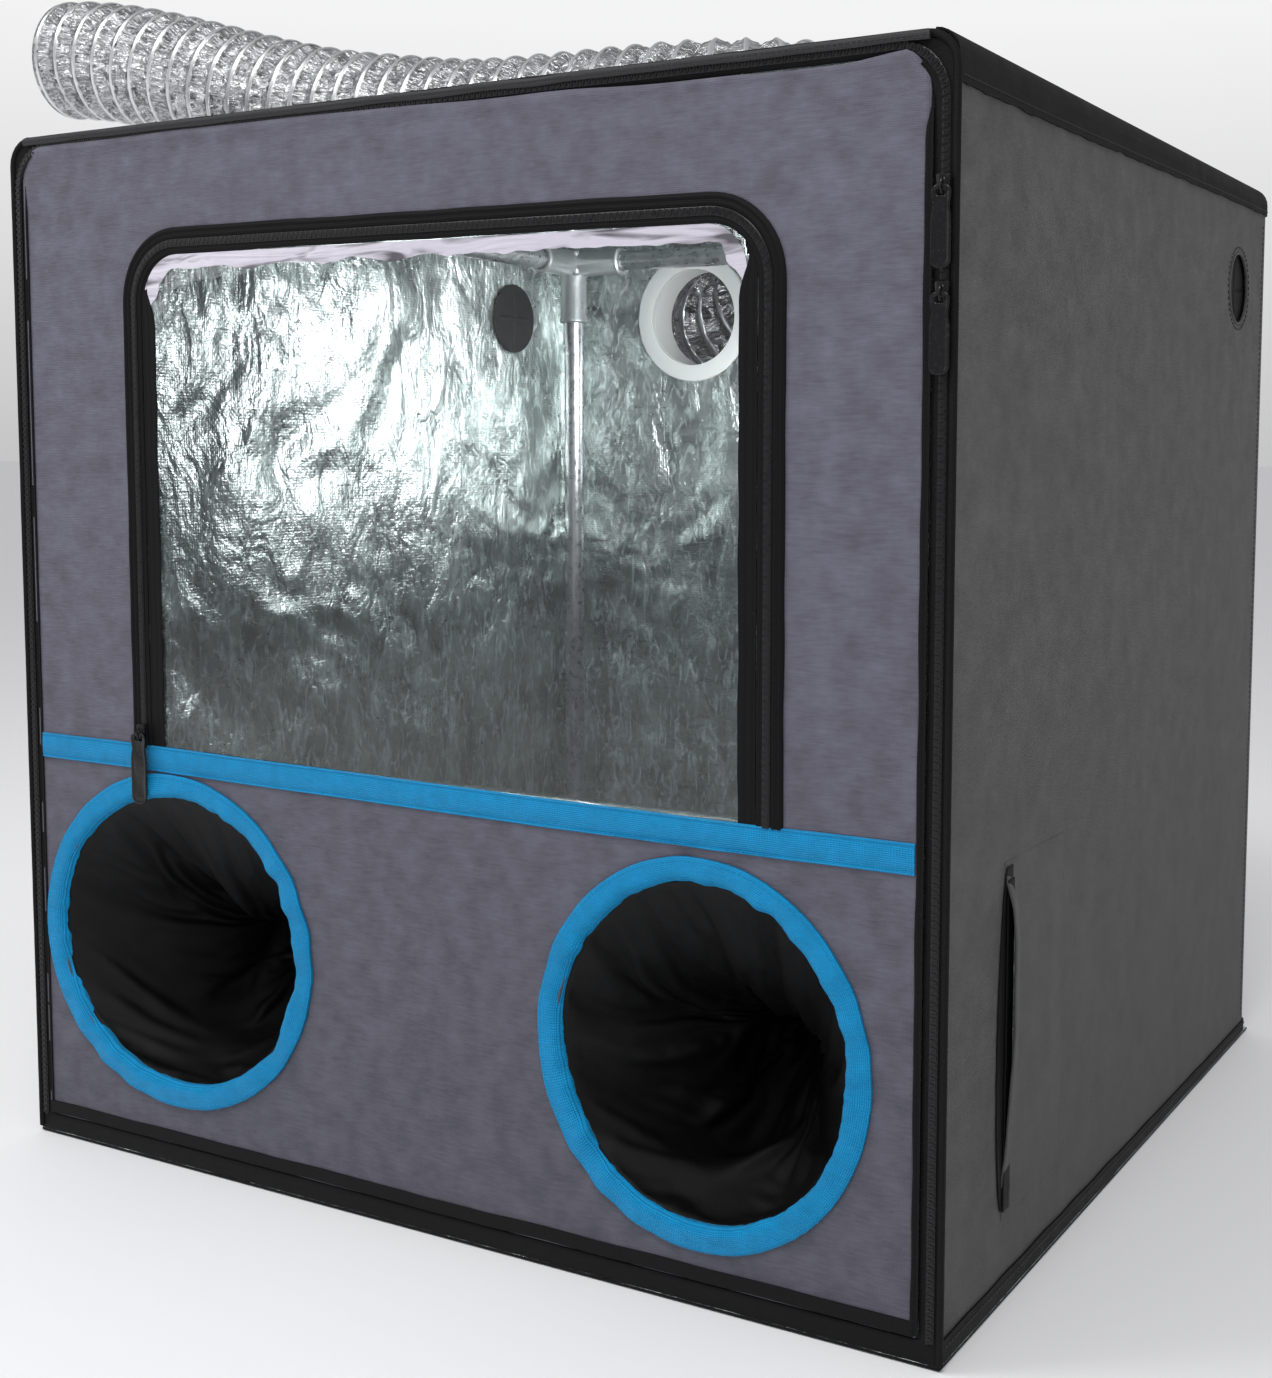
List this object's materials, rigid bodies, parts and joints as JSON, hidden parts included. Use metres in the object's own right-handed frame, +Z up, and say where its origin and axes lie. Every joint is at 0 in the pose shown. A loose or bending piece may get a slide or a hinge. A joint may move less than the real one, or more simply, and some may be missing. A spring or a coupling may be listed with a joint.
{
  "type": "printer enclosure tent",
  "caption": "Fabric tent on a pole frame with zipped front, clear window, arm sleeves, cable ports, side flap and foil exhaust duct.",
  "frame": {"origin": "the middle of the base, on the surface that the tent stands on", "axes": "+X to the right seen from the front, +Y from the zipped front to the back wall, +Z up"},
  "size_m": [0.9552, 0.8142, 0.8519],
  "materials": {
    "front_fabric": "matte",
    "side_fabric": "matte",
    "black_fabric": "matte",
    "blue_webbing": "matte",
    "sleeve_fabric": "matte",
    "zip_tape": "matte",
    "zip_metal": "satin",
    "clear_film": "gloss",
    "pole_steel": "polished",
    "corner_metal": "satin",
    "white_plastic": "satin",
    "clamp_steel": "satin",
    "duct_foil": "polished"
  },
  "bodies": {
    "root": {"left_wall": "side_fabric", "right_wall": "side_fabric", "back_wall": "side_fabric", "roof_panel": "black_fabric", "floor_panel": "black_fabric", "front_surround": "black_fabric", "top_trim": "black_fabric", "base_trim": "black_fabric", "port_membrane_left": "black_fabric", "port_membrane_right": "black_fabric", "door_zip_coil": "zip_tape", "side_hook_strip": "zip_tape", "pole_front_left": "pole_steel", "pole_front_right": "pole_steel", "pole_back_left": "pole_steel", "pole_back_right": "pole_steel", "rail_bottom_front": "pole_steel", "rail_bottom_back": "pole_steel", "rail_bottom_left": "pole_steel", "rail_bottom_right": "pole_steel", "rail_top_front": "pole_steel", "rail_top_back": "pole_steel", "rail_top_left": "pole_steel", "rail_top_right": "pole_steel", "corner_bottom_front_left": "corner_metal", "corner_bottom_front_right": "corner_metal", "corner_bottom_back_left": "corner_metal", "corner_bottom_back_right": "corner_metal", "corner_top_front_left": "corner_metal", "corner_top_front_right": "corner_metal", "corner_top_back_left": "corner_metal", "corner_top_back_right": "corner_metal", "duct_flange": "white_plastic", "duct_flange_ring": "white_plastic", "duct_clamp": "clamp_steel", "duct": "duct_foil"},
    "door": {"door_panel": "front_fabric", "door_zip_tape": "zip_tape", "blue_band": "blue_webbing", "window_frame_tape": "zip_tape", "window_zip_coil": "zip_tape", "arm_binding_left": "blue_webbing", "arm_binding_right": "blue_webbing", "arm_sleeve_left": "sleeve_fabric", "arm_sleeve_right": "sleeve_fabric", "sleeve_cuff_left": "black_fabric", "sleeve_cuff_right": "black_fabric"},
    "window_flap": {"window_film": "clear_film", "window_flap_tape": "zip_tape"},
    "window_slider_body": {"window_slider": "zip_metal"},
    "window_pull_body": {"window_pull": "zip_metal"},
    "upper_slider_body": {"door_slider_upper": "zip_metal"},
    "upper_pull_body": {"door_pull_upper": "zip_metal"},
    "lower_slider_body": {"door_slider_lower": "zip_metal"},
    "lower_pull_body": {"door_pull_lower": "zip_metal"},
    "side_flap_body": {"side_flap": "side_fabric", "side_loop_strip": "zip_tape"}
  },
  "joints": [
    {"name": "door_fold", "type": "hinge", "parent": "root", "child": "door", "pos_m": [0, -0.3225, 0.014], "axis": [1, 0, 0], "range_deg": [0, 90]},
    {"name": "window_fold", "type": "hinge", "parent": "door", "child": "window_flap", "pos_m": [0, -0.3241, 0.2785], "axis": [1, 0, 0], "range_deg": [0, 170]},
    {"name": "window_zip", "type": "slide", "parent": "door", "child": "window_slider_body", "axis": [0, 0, 1], "range_m": [0, 0.269]},
    {"name": "window_pull_swing", "type": "hinge", "parent": "window_slider_body", "child": "window_pull_body", "pos_m": [-0.2226, -0.32897, 0.285], "axis": [-1, 0, 0], "range_deg": [0, 170]},
    {"name": "upper_zip", "type": "slide", "parent": "root", "child": "upper_slider_body", "axis": [0, 0, 1], "range_m": [0, 0.043]},
    {"name": "upper_pull_swing", "type": "hinge", "parent": "upper_slider_body", "child": "upper_pull_body", "pos_m": [0.3268, -0.32807, 0.594], "axis": [-1, 0, 0], "range_deg": [0, 170]},
    {"name": "lower_zip", "type": "slide", "parent": "root", "child": "lower_slider_body", "axis": [0, 0, -1], "range_m": [0, 0.48]},
    {"name": "lower_pull_swing", "type": "hinge", "parent": "lower_slider_body", "child": "lower_pull_body", "pos_m": [0.3268, -0.32807, 0.543], "axis": [-1, 0, 0], "range_deg": [0, 170]},
    {"name": "side_flap_fold", "type": "hinge", "parent": "root", "child": "side_flap_body", "pos_m": [0.3331, -0.14, 0.1465], "axis": [0, 0, 1], "range_deg": [0, 150]}
  ]
}
